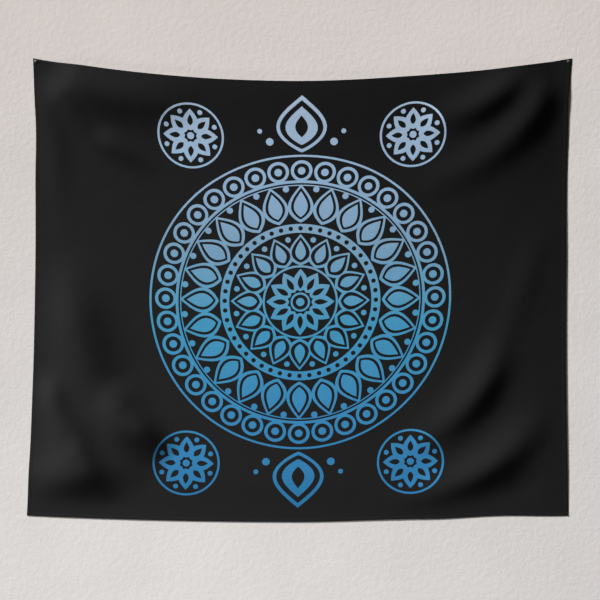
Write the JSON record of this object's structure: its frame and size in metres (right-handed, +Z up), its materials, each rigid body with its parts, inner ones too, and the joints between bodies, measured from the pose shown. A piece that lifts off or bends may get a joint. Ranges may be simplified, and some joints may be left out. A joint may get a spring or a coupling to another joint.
{
  "type": "wall tapestry",
  "caption": "Printed cloth wall tapestry with sewn hems, hung by its top corners from two thumb tacks, with a sagging top edge and soft folds.",
  "frame": {"origin": "midway between the two tack holes, on the surface of the wall", "axes": "+X along the hang line towards the viewer's right, +Y into the wall, +Z up; the printed face looks along -Y"},
  "size_m": [1.5325, 0.06, 1.3045],
  "materials": {
    "printed_cloth": "matt woven polyester, dyed black with a printed blue motif",
    "cap_enamel": "dark grey baked enamel",
    "pin_steel": "drawn steel wire with a ground point"
  },
  "bodies": {
    "cloth": {"cloth_panel": "printed_cloth", "top_hem": "printed_cloth", "bottom_hem": "printed_cloth", "left_hem": "printed_cloth", "right_hem": "printed_cloth"},
    "left_tack": {"left_tack_cap": "cap_enamel", "left_tack_pin": "pin_steel"},
    "right_tack": {"right_tack_cap": "cap_enamel", "right_tack_pin": "pin_steel"}
  },
  "joints": [
    {"name": "left_tack_pull", "type": "slide", "parent": "cloth", "child": "left_tack", "axis": [0, -1, 0], "range_m": [0, 0.014]},
    {"name": "right_tack_pull", "type": "slide", "parent": "cloth", "child": "right_tack", "axis": [0, -1, 0], "range_m": [0, 0.014]}
  ]
}
